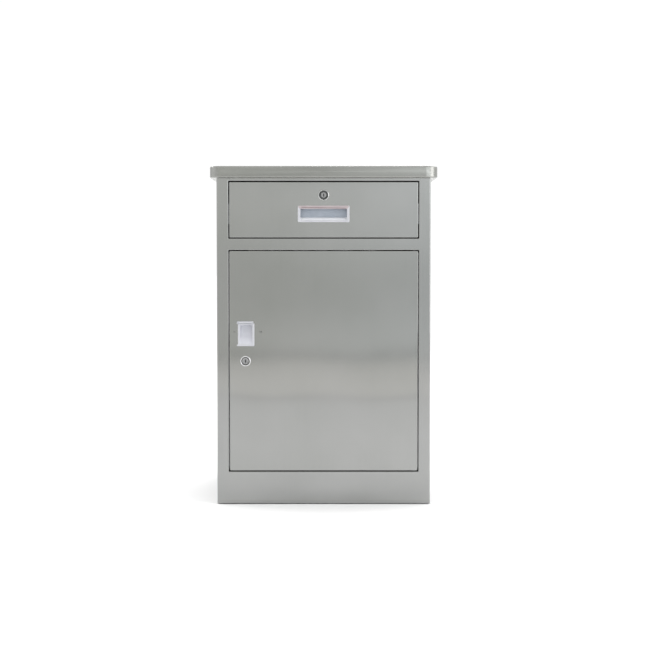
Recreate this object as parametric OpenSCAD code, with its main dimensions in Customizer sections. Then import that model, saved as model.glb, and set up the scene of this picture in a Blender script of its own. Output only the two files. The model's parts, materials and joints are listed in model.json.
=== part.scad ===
/* [Overall size] */
// Width across the top panel
top_w = 510; // [480:1:540]
// Depth across the top panel
top_d = 480; // [460:1:510]
// Height from the floor to the top surface
total_h = 760; // [740:1:800]
// Thickness of the top panel's rim
top_h = 26; // [24:1:32]
// Overhang of the top panel at each side
side_overhang = 15; // [12:1:18]
// Overhang of the top panel at the front
front_overhang = 17; // [12:1:20]
// Plan radius of the top panel's front corners
top_corner_r = 28; // [14:1:34]

/* [Sheet metal] */
// Thickness of every folded sheet
sheet = 1; // [0.8:0.1:1.2]
// Outside radius of every fold
bend_r = 2.5; // [2:0.5:3]
// Width of the flanges folded inwards along the side panels
flange_w = 20; // [16:1:22]

/* [Front frame] */
// Visible width of the stile at each side of the openings
stile_w = 26.5; // [24:0.5:32]
// Depth of the stile's return into the body
return_d = 20; // [18:1:20]
// Visible height of the rail above the drawer
top_rail_h = 6.5; // [6:0.5:10]
// Height of the rail between drawer and door
mid_rail_h = 26; // [22:1:34]
// Height of the middle rail's lower edge above the floor
mid_rail_z = 573; // [568:1:580]
// Height of the plinth above the floor
plinth_h = 74; // [60:1:80]
// Gap around the drawer front and the door
gap = 2; // [1.5:0.5:2]
// Thickness of the drawer front and of the door
panel_t = 18; // [18:1:18]

/* [Drawer] */
// Length of the drawer slides
slide_l = 400; // [350:10:400]
// Height of the slides' centre line
slide_z = 655; // [650:1:660]
// Height of the drawer box's underside
box_z = 612; // [608:1:616]
// Height of the drawer box
box_h = 88; // [80:1:92]
// Width of the white recessed pull
pull_w = 116; // [96:1:130]
// Height of the white recessed pull
pull_h = 37; // [34:1:38]
// Height of the pull's centre
pull_z = 654; // [652:1:655]

/* [Door] */
// Width of the white door handle
handle_w = 39.5; // [36:0.5:44]
// Height of the white door handle
handle_h = 55.5; // [50:0.5:60]
// Distance of the handle's centre from the middle plane
handle_x = 175.3; // [172:0.1:178]
// Height of the handle's centre
handle_z = 385.3; // [380:0.1:390]
// Hinge pin radius
pin_r = 2.5; // [2:0.5:2.5]
// Distance of the hinge axis from the door's edge
pin_inset = 8; // [8:0.5:9]
// Distance of the hinge axis behind the door's face
pin_depth = 5.5; // [5.5:0.1:5.6]
// Radial running clearance of pins and lock plugs
running = 0.05; // [0.03:0.01:0.08]

/* [Locks] */
// Height of the drawer lock's axis
drawer_lock_z = 696; // [694:1:698]
// Height of the door lock's axis
door_lock_z = 323.8; // [320:0.1:330]
// Distance of the door lock's axis from the middle plane
door_lock_x = 175.7; // [174:0.1:178]
// Radius of the lock's front flange
lock_flange_r = 12; // [11:0.5:12.5]
// Radius of the threaded lock barrel
barrel_r = 9; // [8:0.5:9]
// Radius of the turning plug
plug_r = 6; // [5.5:0.5:6]

/* [Hidden] */
$fn = 48;
eps = 1;
half_w = top_w / 2 - side_overhang;
front_y = -top_d / 2 + front_overhang;
back_y = top_d / 2;
top_z = total_h - top_h;
glide_h = 2;
base_z = glide_h;
open_x = half_w - stile_w;
panel_x = open_x - gap;
inner_x = half_w - sheet;
inner_back_y = back_y - 2 * sheet;
panel_back_y = front_y + panel_t;
body_h = top_z - base_z;
drawer_open = [mid_rail_z + mid_rail_h, top_z - top_rail_h];
door_open = [plinth_h, mid_rail_z];
drawer_z = [drawer_open[0] + gap, drawer_open[1] - gap];
door_z = [door_open[0] + gap, door_open[1] - gap];
skin_fit = 0.1;
hole_fit = 0.1;
hat_brim = 14;

// top panel
rim_return = 35;
stiffener_y = 85;
stiffener_end = 8;
stiffener_crown = 32;
stiffener_h = 18;
top_screw_x = half_w - flange_w / 2;
top_screw_y = [-150, 195];
top_screw_r = 2.4;
top_screw_l = 8;
top_hole_r = 2.6;
top_head = [4.5, 3];
top_nut = [4.6, 4];

// side panels
flange_front_y = front_y + 28;

// base glides
glide_x = half_w - 12;
glide_y = [front_y + 48, back_y - 27];
glide_r = 10;
glide_stem_r = 4;
glide_stem_l = 8;
gusset_w = 46;

// back vents
vent_rows = 3;
vent_columns = 2;
vent_pitch_x = 60;
vent_pitch_z = 16;
vent_z = 500;
vent_l = 42;
vent_w = 6;

// rails
drawer_to_door = [mid_rail_z, mid_rail_z + mid_rail_h];
mid_upper_d = 33;
mid_lower_d = 53;
plinth_upper_d = 33;
plinth_lower_d = 22;
top_rail_d = 23;

// inner panels
deck_front_y = front_y + 43;
floor_front_y = front_y + 25;
panel_flange = 16;
stop_lip_y = front_y + 21;
stop_lip_x = open_x - 10.5;
stop_web_y = front_y + 5;
stop_end = 4;
bumper_x = stop_lip_x + 5;
bumper_r = 4;
bumper_end = 45;
bumper_gap = 0.2;

// shelf
shelf_z = 340;
shelf_x = half_w - 4;
shelf_flange = 20;
shelf_front_y = front_y + 43;
shelf_back_y = back_y - 8;
support_w = 15;
support_end = 10;

// hinge
pin_x = panel_x - pin_inset;
pin_y = front_y + pin_depth;
bush_r = pin_r + 1.4;
bush_flange_r = pin_r + 2.5;
bush_flange_t = 0.8;
bush_h = 6;
bush_fit = 0.05;
pin_l = 11;
shoulder_r = pin_r + 2;
plate_t = 2;
plate_x = [pin_x - 13, pin_x + 8];
plate_y = [pin_y - 2.5, pin_y + 19];
door_stiffener_crown = 34;
door_stiffener_end = 12;

// magnetic catch
catch_x = [-170, -130];
catch_z = door_open[1] - 15;
catch_face_y = panel_back_y + 1.8;
catch_depth = 31;
catch_cheek = 8;
catch_wall = 3;
magnet_t = 8;
magnet_proud = 0.1;
strike_t = 1.4;
strike_x = [catch_x[0] + 4, catch_x[1] - 4];
strike_z = [catch_z + 2, door_z[1] - 1];
strike_hole_r = 1.2;
strike_hole_inset = 2.5;

// slides
slide_t = 12.7;
slide_h = 45;
rail_t = 1.2;
slide_y = panel_back_y + 1;
ball_r = 1.5;
ball_gap = 3.6;
cage_t = 0.6;
cage_clear = 0.4;
cage_flange = 5.6;
ball_u = 3.4;
ball_clear = 0.15;
cage_l = 200;
cage_y = slide_y + (slide_l - cage_l) / 2 - 10;
balls = 8;
outer_half = slide_h / 2;
middle_half = outer_half - rail_t - ball_gap;
inner_half = middle_half - rail_t - ball_gap;
middle_u = rail_t + 2 * cage_clear + cage_t;
inner_u = middle_u + middle_u;
outer_flange_u = 9;
middle_flange_u = 10.2;
bracket_y = front_y + 23;
bracket_h = 40;
bracket_brim = 12;

// drawer box
box_x = open_x - slide_t;
box_back_y = panel_back_y + 390;
box_hem = 8;
box_flange = 14;
box_screw_x = box_x - 8;
box_screw_z = [635, 680];
box_screw_r = 2;
box_screw_l = 8;
box_hole_r = 2.1;
box_head = [3.8, 2];

// locks
flange_y = front_y - 2.5;
barrel_back_y = front_y + 25;
barrel_fit = 0.2;
thread_fit = 0.05;
plug_recess = 0.4;
keyway = [1, 3.5];
keyway_l = 14;
nut_t = 4;
nut_r = 13.8;
cam_t = 2;
cam_y = barrel_back_y + 0.2;
tail_half = 3.5;
cam_hub_r = 9;
cam_tip_r = 6.5;
drawer_cam_reach = 30;
door_cam_reach = 34;
cam_fit = 0.1;
cam_screw_r = 2;
cam_screw_l = 7;
cam_head = [5.2, 2.2];

// pull and handle: a frame on the sheet, and a pocket through it
pull_frame_y = front_y - 2;
pull_back_y = front_y + 14.5;
pocket_wall = 1.5;
pocket_back_y = pull_back_y - pocket_wall;
pocket_inset = 3.2;
frame_lap = 3;
hood_y = front_y + 2;
ramp_rise = [4, 10.8];
ramp_end = 4;
pull_cheek = 6;
pull_roof = pocket_inset + pocket_wall;
pull_hood = 7.4;
handle_lip = 7;
handle_cheek = 5;
handle_sill = 6;

steel = "silver";
liner_steel = "lightsteelblue";
zinc = "slategray";
plastic = "ghostwhite";

// ---- shared shapes ----

// A box given by its lowest and highest corners.
module block(low, high) {
  translate(low) cube(high - low);
}

// A section in the Y-Z plane, extruded from x0 to x1.
module along_x(x0, x1) {
  translate([x0, 0, 0]) rotate([90, 0, 90]) linear_extrude(x1 - x0) children();
}

// A section in the X-Z plane, extruded from y0 to y1.
module along_y(y0, y1) {
  translate([0, y1, 0]) rotate([90, 0, 0]) linear_extrude(y1 - y0) children();
}

// A shape made for the right side, mirrored for the left.
module on_side(side) {
  if (side > 0) children();
  else mirror([1, 0, 0]) children();
}

// A quarter of a ring: the section of one fold.
module fold_ring() {
  intersection() {
    difference() {
      circle(bend_r);
      circle(bend_r - sheet);
    }
    translate([0, -bend_r]) square(bend_r);
  }
}

// The section of a folded sheet. Each leg is [straight length, turn], and the turn is
// 1 to the left, -1 to the right, 0 at the end. The sheet lies left of the path.
module folded(legs, i = 0) {
  leg = legs[i][0];
  turn = legs[i][1];
  inside = bend_r - sheet;
  square([leg, sheet]);
  if (turn > 0) {
    translate([leg, bend_r]) fold_ring();
    translate([leg + bend_r, bend_r]) rotate(90) folded(legs, i + 1);
  }
  if (turn < 0) {
    translate([leg, -inside]) mirror([0, 1]) fold_ring();
    translate([leg + inside, -inside]) rotate(-90) folded(legs, i + 1);
  }
}

// The section of a hat channel, crown up, centred on its own width.
module hat(crown, height, brim) {
  riser = height + sheet - 2 * bend_r;
  straight_brim = brim - bend_r + sheet;
  translate([-crown / 2 - brim, 0])
    folded([[straight_brim, 1], [riser, -1], [crown - 2 * bend_r, -1], [riser, 1],
            [straight_brim, 0]]);
}

// A rectangle with round ends.
module slot(length, width) {
  square([length - width, width], center = true);
  for (s = [-1, 1]) translate([s * (length - width) / 2, 0]) circle(width / 2);
}

// A cylinder along Y from y0 to y1.
module rod_y(x, z, r, y0, y1) {
  translate([x, y1, z]) rotate([90, 0, 0]) cylinder(r = r, h = y1 - y0);
}

// A cylinder along Z from z0 to z1.
module rod_z(x, y, r, z0, z1) {
  translate([x, y, z0]) cylinder(r = r, h = z1 - z0);
}

// A front rail: face, upper return and lower return, folded from one sheet.
module front_channel(z, upper_d, lower_d) {
  along_x(-open_x, open_x)
    translate([front_y + upper_d, z[1]]) rotate(180)
      folded([[upper_d - bend_r, 1], [z[1] - z[0] - 2 * bend_r, 1], [lower_d - bend_r, 0]]);
}

// ---- cabinet: top ----

// The top panel's plan outline, drawn in from its edge.
module top_outline(inset) {
  r = top_corner_r - inset;
  x = top_w / 2 - inset;
  y = top_d / 2 - inset;
  translate([-x, -y + r]) square([2 * x, 2 * y - r]);
  translate([-x + r, -y]) square([2 * (x - r), r]);
  for (s = [-1, 1]) translate([s * (x - r), -y + r]) circle(r);
}

module top_panel() {
  hole_x = top_w / 2 - rim_return;
  hole_y = top_d / 2 - rim_return;
  color(steel) difference() {
    translate([0, 0, top_z]) linear_extrude(top_h) top_outline(0);
    translate([0, 0, top_z + sheet]) linear_extrude(top_h - 2 * sheet) top_outline(sheet);
    block([-hole_x, -hole_y, top_z - eps], [hole_x, hole_y, top_z + 2 * sheet]);
    for (s = [-1, 1], y = top_screw_y)
      rod_z(s * top_screw_x, y, top_hole_r, top_z - eps, top_z + 2 * sheet);
  }
}

module top_stiffeners() {
  length = top_w / 2 - stiffener_end;
  color(steel)
    for (s = [-1, 1])
      along_x(-length, length)
        translate([s * stiffener_y, total_h - sheet]) mirror([0, 1])
          hat(stiffener_crown, stiffener_h, hat_brim);
}

module top_fasteners() {
  color(zinc)
    for (s = [-1, 1], y = top_screw_y) {
      rod_z(s * top_screw_x, y, top_head[0], top_z - sheet - top_head[1], top_z - sheet);
      rod_z(s * top_screw_x, y, top_screw_r, top_z - sheet, top_z + top_screw_l);
      translate([s * top_screw_x, y, top_z + sheet]) difference() {
        cylinder(r = top_nut[0], h = top_nut[1], $fn = 6);
        translate([0, 0, -eps]) cylinder(r = top_screw_r + thread_fit, h = top_nut[1] + 2 * eps);
      }
    }
}

// ---- cabinet: folded body ----

module side_panel(side) {
  color(steel) on_side(side) difference() {
    union() {
      translate([open_x, front_y + return_d, base_z])
        linear_extrude(body_h) rotate(-90)
          folded([[return_d - bend_r, 1], [stile_w - 2 * bend_r, 1],
                  [back_y - sheet - front_y - 2 * bend_r, 1], [flange_w - bend_r, 0]]);
      for (z = [base_z, top_z - sheet])
        block([half_w - flange_w - sheet, flange_front_y, z], [inner_x, inner_back_y, z + sheet]);
    }
    for (y = top_screw_y) rod_z(top_screw_x, y, top_hole_r, top_z - 2 * sheet, top_z + eps);
    for (y = glide_y)
      rod_z(glide_x, y, glide_stem_r + hole_fit, base_z - eps, base_z + 2 * sheet);
  }
}

module top_rail() {
  color(steel) along_x(-open_x, open_x)
    translate([front_y, top_z]) rotate(-90)
      folded([[top_rail_h - bend_r, 1], [top_rail_d - 2 * bend_r, 1],
              [top_rail_h - sheet - bend_r, 0]]);
}

module middle_rail() {
  color(steel) difference() {
    front_channel(drawer_to_door, mid_upper_d, mid_lower_d);
    rod_z(pin_x, pin_y, pin_r + hole_fit, mid_rail_z - eps, mid_rail_z + 2 * sheet);
  }
}

module plinth_panel() {
  color(steel) difference() {
    front_channel([base_z, plinth_h], plinth_upper_d, plinth_lower_d);
    rod_z(pin_x, pin_y, pin_r + hole_fit, plinth_h - 2 * sheet, plinth_h + eps);
  }
}

module back_panel() {
  x = half_w - bend_r;
  flange_x = half_w - flange_w - 2 * sheet;
  color(steel) difference() {
    union() {
      block([-x, back_y - sheet, base_z], [x, back_y, top_z]);
      for (z = [base_z, top_z - sheet])
        block([-flange_x, back_y - flange_w, z], [flange_x, back_y - sheet, z + sheet]);
    }
    for (row = [0:vent_rows - 1], column = [-vent_columns:vent_columns])
      translate([column * vent_pitch_x, back_y + eps, vent_z + row * vent_pitch_z])
        rotate([90, 0, 0]) linear_extrude(2 * sheet + eps) slot(vent_l, vent_w);
  }
}

// A horizontal panel between the side walls, with its edges folded up or down.
module cross_panel(front, z, fold) {
  low = fold > 0 ? z + sheet : z - panel_flange;
  back = inner_back_y - bend_r + sheet;
  color(liner_steel) {
    block([-inner_x, front, z], [inner_x, back, z + sheet]);
    for (s = [-1, 1])
      on_side(s) block([inner_x - sheet, front, low], [inner_x, back, low + panel_flange]);
  }
}

module floor_panel() {
  cross_panel(floor_front_y, plinth_h - 2 * sheet, -1);
}

module drawer_deck() {
  cross_panel(deck_front_y, mid_rail_z + sheet, 1);
}

module base_gussets() {
  color(liner_steel)
    for (s = [-1, 1], y = glide_y)
      on_side(s) difference() {
        block([inner_x - gusset_w, y - gusset_w / 2, base_z + sheet],
              [inner_x, y + gusset_w / 2, base_z + sheet + plate_t]);
        rod_z(glide_x, y, glide_stem_r + hole_fit, base_z, base_z + 2 * (sheet + plate_t));
      }
}

module floor_glides() {
  color(plastic)
    for (s = [-1, 1], y = glide_y)
      on_side(s) {
        rod_z(glide_x, y, glide_r, 0, glide_h);
        rod_z(glide_x, y, glide_stem_r, glide_h, glide_h + glide_stem_l);
      }
}

module slide_brackets() {
  color(liner_steel)
    for (s = [-1, 1])
      on_side(s) along_y(bracket_y, bracket_y + slide_l)
        translate([inner_x, slide_z]) rotate(90)
          hat(bracket_h, inner_x - open_x - sheet, bracket_brim);
}

module door_stops() {
  height = door_z[1] - door_z[0] - 2 * stop_end;
  color(liner_steel)
    for (s = [-1, 1])
      on_side(s) translate([0, 0, door_z[0] + stop_end]) linear_extrude(height) {
        translate([open_x + sheet, stop_web_y]) square([sheet, stop_lip_y - stop_web_y]);
        translate([stop_lip_x, stop_lip_y]) square([open_x + 2 * sheet - stop_lip_x, sheet]);
      }
}

module door_bumpers() {
  color("dimgray")
    for (z = [door_z[0] + bumper_end, door_z[1] - bumper_end])
      rod_y(-bumper_x, z, bumper_r, panel_back_y + bumper_gap, stop_lip_y);
}

module shelf_supports() {
  z = shelf_z - shelf_flange;
  y0 = shelf_front_y + support_end;
  y1 = shelf_back_y - support_end;
  color(liner_steel)
    for (s = [-1, 1])
      on_side(s) {
        block([shelf_x - support_w, y0, z - sheet], [inner_x, y1, z]);
        block([inner_x - sheet, y0, z - shelf_flange], [inner_x, y1, z - sheet]);
      }
}

module shelf() {
  color(steel) difference() {
    block([-shelf_x, shelf_front_y, shelf_z - shelf_flange], [shelf_x, shelf_back_y, shelf_z]);
    block([-shelf_x + sheet, shelf_front_y + sheet, shelf_z - shelf_flange - eps],
          [shelf_x - sheet, shelf_back_y - sheet, shelf_z - sheet]);
  }
}

// ---- door hinge and catch ----

// A hinge plate with its pin, drawn for the lower end of the door.
module hinge_pin() {
  block([plate_x[0], plate_y[0], -plate_t - sheet], [plate_x[1], plate_y[1], -sheet]);
  rod_z(pin_x, pin_y, pin_r, -plate_t - sheet, pin_l);
}

module hinge_pin_lower() {
  shoulder_h = gap - bush_flange_t - running;
  color(zinc) translate([0, 0, plinth_h]) {
    hinge_pin();
    rod_z(pin_x, pin_y, shoulder_r, 0, shoulder_h);
  }
}

module hinge_pin_upper() {
  color(zinc) translate([0, 0, mid_rail_z]) mirror([0, 0, 1]) hinge_pin();
}

// The space the magnet fills in the catch, starting at y0.
module magnet_block(y0) {
  block([catch_x[0] + catch_cheek, y0, catch_z + catch_wall],
        [catch_x[1] - catch_cheek, catch_face_y + magnet_t, mid_rail_z - catch_wall]);
}

module catch_body() {
  color(plastic) difference() {
    block([catch_x[0], catch_face_y, catch_z],
          [catch_x[1], catch_face_y + catch_depth, mid_rail_z]);
    magnet_block(catch_face_y - eps);
  }
}

module catch_magnet() {
  color("dimgray") magnet_block(catch_face_y - magnet_proud);
}

module strike_plate() {
  hole_z = (strike_z[0] + strike_z[1]) / 2;
  color(zinc) difference() {
    block([strike_x[0], panel_back_y, strike_z[0]],
          [strike_x[1], panel_back_y + strike_t, strike_z[1]]);
    for (x = [strike_x[0] + strike_hole_inset, strike_x[1] - strike_hole_inset])
      rod_y(x, hole_z, strike_hole_r, panel_back_y - eps, panel_back_y + strike_t + eps);
  }
}

// ---- drawer slides: u runs from the bracket towards the drawer ----

// A channel of a slide: web at u0, flanges out to u1, drawn for the right side.
module slide_channel(half, web, u0, u1) {
  color(zinc) along_y(slide_y, slide_y + slide_l) {
    translate([open_x - web - rail_t, slide_z - half]) square([rail_t, 2 * half]);
    for (z = [slide_z - half, slide_z + half - rail_t])
      translate([open_x - u1, z]) square([u1 - u0, rail_t]);
  }
}

module slide_outer(side) {
  on_side(side) slide_channel(outer_half, 0, 0, outer_flange_u);
}

module slide_middle(side) {
  on_side(side) slide_channel(middle_half, middle_u, middle_u, middle_flange_u);
}

module slide_inner(side) {
  on_side(side) slide_channel(inner_half, slide_t - rail_t, inner_u, slide_t);
}

// A ball cage: a folded strip with a row of balls above and below.
module ball_cage(side, race, web) {
  ball_x = open_x - web - ball_u;
  pitch = cage_l / balls;
  on_side(side) {
    color(zinc) difference() {
      along_y(cage_y, cage_y + cage_l) {
        translate([open_x - web - cage_t, slide_z - race]) square([cage_t, 2 * race]);
        for (z = [-race, race])
          translate([open_x - web - cage_flange, slide_z + z - cage_t / 2])
            square([cage_flange, cage_t]);
      }
      for (i = [0:balls - 1], z = [-race, race])
        rod_z(ball_x, cage_y + (i + 0.5) * pitch, ball_r + ball_clear,
              slide_z + z - cage_t, slide_z + z + cage_t);
    }
    color("silver")
      for (i = [0:balls - 1], z = [-race, race])
        translate([ball_x, cage_y + (i + 0.5) * pitch, slide_z + z]) sphere(ball_r);
  }
}

module outer_cage(side) {
  ball_cage(side, outer_half - rail_t - ball_gap / 2, rail_t + cage_clear);
}

module inner_cage(side) {
  ball_cage(side, middle_half - rail_t - ball_gap / 2, middle_u + rail_t + cage_clear);
}

// ---- drawer ----

// A flat pan: face sheet at the front, four edges folded back.
module front_pan(z) {
  difference() {
    block([-panel_x, front_y, z[0]], [panel_x, panel_back_y, z[1]]);
    block([-panel_x + sheet, front_y + sheet, z[0] + sheet],
          [panel_x - sheet, panel_back_y + eps, z[1] - sheet]);
  }
}

// The hole in a front's face sheet, under the frame of a pull or handle.
module cutout(x, z) {
  block([x[0] + frame_lap, front_y - eps, z[0] + frame_lap],
        [x[1] - frame_lap, front_y + 2 * sheet, z[1] - frame_lap]);
}

// A pull or handle before its recess: a frame on the sheet, with the pocket behind it.
module pull_body(x, z) {
  block([x[0], pull_frame_y, z[0]], [x[1], front_y, z[1]]);
  block([x[0] + pocket_inset, front_y, z[0] + pocket_inset],
        [x[1] - pocket_inset, pull_back_y, z[1] - pocket_inset]);
}

// The pan's inner sheet, with its two upright edges folded forward.
module pan_liner(z) {
  x = panel_x - sheet - skin_fit;
  low = z[0] + sheet + skin_fit;
  high = z[1] - sheet - skin_fit;
  block([-x, panel_back_y - sheet, low], [x, panel_back_y, high]);
  for (s = [-1, 1])
    on_side(s) block([x - sheet, panel_back_y - 12, low], [x, panel_back_y - sheet, high]);
}

module drawer_front() {
  color(steel) difference() {
    front_pan(drawer_z);
    cutout([-pull_w / 2, pull_w / 2], [pull_z - pull_h / 2, pull_z + pull_h / 2]);
    rod_y(0, drawer_lock_z, barrel_r + barrel_fit, front_y - eps, front_y + 2 * sheet);
  }
}

module drawer_front_liner() {
  color(liner_steel) difference() {
    pan_liner(drawer_z);
    rod_y(0, drawer_lock_z, barrel_r + barrel_fit, panel_back_y - 2 * sheet, panel_back_y + eps);
    for (s = [-1, 1], z = box_screw_z)
      rod_y(s * box_screw_x, z, box_hole_r, panel_back_y - 2 * sheet, panel_back_y + eps);
  }
}

module drawer_side(side) {
  top = box_z + box_h;
  color(liner_steel) on_side(side) difference() {
    union() {
      block([box_x - sheet, panel_back_y, box_z], [box_x, box_back_y, top]);
      block([box_x - box_hem, panel_back_y, top - sheet], [box_x - sheet, box_back_y, top]);
      block([box_x - box_flange, panel_back_y, box_z + 2 * sheet],
            [box_x - sheet, panel_back_y + sheet, top - sheet]);
    }
    for (z = box_screw_z)
      rod_y(box_screw_x, z, box_hole_r, panel_back_y - eps, panel_back_y + 2 * sheet);
  }
}

module drawer_bottom() {
  color(liner_steel)
    block([-box_x + sheet, panel_back_y, box_z], [box_x - sheet, box_back_y - sheet, box_z + sheet]);
}

module drawer_back() {
  top = box_z + box_h;
  color(liner_steel) {
    block([-box_x + sheet, box_back_y - sheet, box_z], [box_x - sheet, box_back_y, top - sheet]);
    block([-box_x + box_hem, box_back_y - box_hem, top - sheet],
          [box_x - box_hem, box_back_y, top]);
  }
}

module drawer_screws() {
  color(zinc)
    for (s = [-1, 1], z = box_screw_z) {
      rod_y(s * box_screw_x, z, box_screw_r, panel_back_y - box_screw_l, panel_back_y + sheet);
      rod_y(s * box_screw_x, z, box_head[0], panel_back_y + sheet,
            panel_back_y + sheet + box_head[1]);
    }
}

// The pull: a moulded tray whose floor rises as a ramp, with a hooded lip above.
module drawer_pull() {
  low = pull_z - pull_h / 2;
  high = pull_z + pull_h / 2;
  color(plastic) difference() {
    pull_body([-pull_w / 2, pull_w / 2], [low, high]);
    along_x(-pull_w / 2 + pull_cheek, pull_w / 2 - pull_cheek)
      polygon([[pull_frame_y - eps, low + ramp_rise[0]], [pull_frame_y, low + ramp_rise[0]],
               [pocket_back_y - ramp_end, low + ramp_rise[1]], [pocket_back_y, low + ramp_rise[1]],
               [pocket_back_y, high - pull_roof], [hood_y, high - pull_roof],
               [hood_y, high - pull_hood], [pull_frame_y - eps, high - pull_hood]]);
  }
}

// ---- door ----

module door_skin() {
  color(steel) difference() {
    front_pan(door_z);
    cutout([-handle_x - handle_w / 2, -handle_x + handle_w / 2],
           [handle_z - handle_h / 2, handle_z + handle_h / 2]);
    rod_y(-door_lock_x, door_lock_z, barrel_r + barrel_fit, front_y - eps, front_y + 2 * sheet);
    rod_z(pin_x, pin_y, bush_r + bush_fit, door_z[0] - eps, door_z[0] + 2 * sheet);
    rod_z(pin_x, pin_y, bush_r + bush_fit, door_z[1] - 2 * sheet, door_z[1] + eps);
  }
}

module door_liner() {
  color(liner_steel) difference() {
    pan_liner(door_z);
    rod_y(-door_lock_x, door_lock_z, barrel_r + barrel_fit,
          panel_back_y - 2 * sheet, panel_back_y + eps);
  }
}

module door_stiffener() {
  height = door_z[1] - door_z[0] - 2 * door_stiffener_end;
  color(liner_steel)
    translate([0, front_y + sheet, door_z[0] + door_stiffener_end]) linear_extrude(height)
      hat(door_stiffener_crown, panel_t - 3 * sheet, hat_brim);
}

// The handle: a moulded cup with a lip over its latch side for the fingers.
module door_handle() {
  x0 = -handle_x - handle_w / 2;
  x1 = -handle_x + handle_w / 2;
  z0 = handle_z - handle_h / 2;
  z1 = handle_z + handle_h / 2;
  color(plastic) difference() {
    pull_body([x0, x1], [z0, z1]);
    block([x0 + handle_lip, pull_frame_y - eps, z0 + handle_sill],
          [x1 - handle_cheek, pocket_back_y, z1 - handle_sill]);
    block([x0 + pocket_inset + pocket_wall, hood_y, z0 + handle_sill],
          [x1 - handle_cheek, pocket_back_y, z1 - handle_sill]);
  }
}

module door_bushes() {
  color(plastic)
    for (end = [[door_z[0], 0], [door_z[1], 1]])
      translate([pin_x, pin_y, end[0]]) mirror([0, 0, end[1]]) difference() {
        union() {
          cylinder(r = bush_r, h = bush_h);
          translate([0, 0, -bush_flange_t]) cylinder(r = bush_flange_r, h = bush_flange_t);
        }
        translate([0, 0, -eps]) cylinder(r = pin_r + running, h = bush_h + 2 * eps);
      }
}

// ---- locks ----

module lock_housing(x, z) {
  color(zinc) difference() {
    union() {
      rod_y(x, z, lock_flange_r, flange_y, front_y);
      rod_y(x, z, barrel_r, front_y, barrel_back_y);
    }
    rod_y(x, z, plug_r + running, flange_y - eps, barrel_back_y + eps);
  }
}

module lock_nut(x, z) {
  color(zinc) difference() {
    translate([x, panel_back_y + nut_t, z]) rotate([90, 0, 0]) cylinder(r = nut_r, h = nut_t, $fn = 6);
    rod_y(x, z, barrel_r + thread_fit, panel_back_y - eps, panel_back_y + nut_t + eps);
  }
}

module lock_plug(x, z) {
  color("silver") difference() {
    union() {
      rod_y(x, z, plug_r, flange_y + plug_recess, barrel_back_y);
      block([x - tail_half, barrel_back_y, z - tail_half],
            [x + tail_half, barrel_back_y + cam_t, z + tail_half]);
    }
    block([x - keyway[0], flange_y - eps, z - keyway[1]],
          [x + keyway[0], flange_y + keyway_l, z + keyway[1]]);
    rod_y(x, z, cam_screw_r + thread_fit, barrel_back_y - cam_screw_l - eps, cam_y + cam_t + eps);
  }
}

// The cam lies along +X from the lock's axis, before it is turned to its rest angle.
module lock_cam(x, z, reach, rest_angle) {
  color(zinc)
    translate([x, cam_y + cam_t, z]) rotate([90, 0, 0]) linear_extrude(cam_t) rotate(rest_angle)
      difference() {
        union() {
          circle(cam_hub_r);
          translate([0, -cam_tip_r]) square([reach, 2 * cam_tip_r]);
          translate([reach, 0]) circle(cam_tip_r);
        }
        square(2 * tail_half + cam_fit, center = true);
      }
}

module cam_screw(x, z) {
  color(zinc) {
    rod_y(x, z, cam_screw_r, barrel_back_y - cam_screw_l, cam_y + cam_t);
    rod_y(x, z, cam_head[0], cam_y + cam_t, cam_y + cam_t + cam_head[1]);
  }
}

top_panel();
top_stiffeners();
top_fasteners();
side_panel(-1);  // side_panel_left
side_panel(1);  // side_panel_right
top_rail();
middle_rail();
plinth_panel();
back_panel();
floor_panel();
drawer_deck();
base_gussets();
floor_glides();
slide_brackets();
door_stops();
door_bumpers();
shelf_supports();
shelf();
hinge_pin_upper();
hinge_pin_lower();
catch_body();
catch_magnet();
slide_outer(-1);  // slide_outer_left
slide_outer(1);  // slide_outer_right
slide_middle(-1);  // slide_middle_left
slide_middle(1);  // slide_middle_right
slide_inner(-1);  // slide_inner_left
slide_inner(1);  // slide_inner_right
outer_cage(-1);  // outer_cage_left
outer_cage(1);  // outer_cage_right
inner_cage(-1);  // inner_cage_left
inner_cage(1);  // inner_cage_right
drawer_front();
drawer_front_liner();
drawer_side(-1);  // drawer_side_left
drawer_side(1);  // drawer_side_right
drawer_bottom();
drawer_back();
drawer_screws();
drawer_pull();
lock_housing(0, drawer_lock_z);  // drawer_lock_housing
lock_nut(0, drawer_lock_z);  // drawer_lock_nut
lock_plug(0, drawer_lock_z);  // drawer_lock_plug
lock_cam(0, drawer_lock_z, drawer_cam_reach, 180);  // drawer_lock_cam
cam_screw(0, drawer_lock_z);  // drawer_cam_screw
door_skin();
door_liner();
door_stiffener();
door_handle();
door_bushes();
strike_plate();
lock_housing(-door_lock_x, door_lock_z);  // door_lock_housing
lock_nut(-door_lock_x, door_lock_z);  // door_lock_nut
lock_plug(-door_lock_x, door_lock_z);  // door_lock_plug
lock_cam(-door_lock_x, door_lock_z, door_cam_reach, -90);  // door_lock_cam
cam_screw(-door_lock_x, door_lock_z);  // door_cam_screw
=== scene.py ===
"""Stainless-steel bedside cabinet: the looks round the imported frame. Lengths are in metres."""
import math

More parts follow.
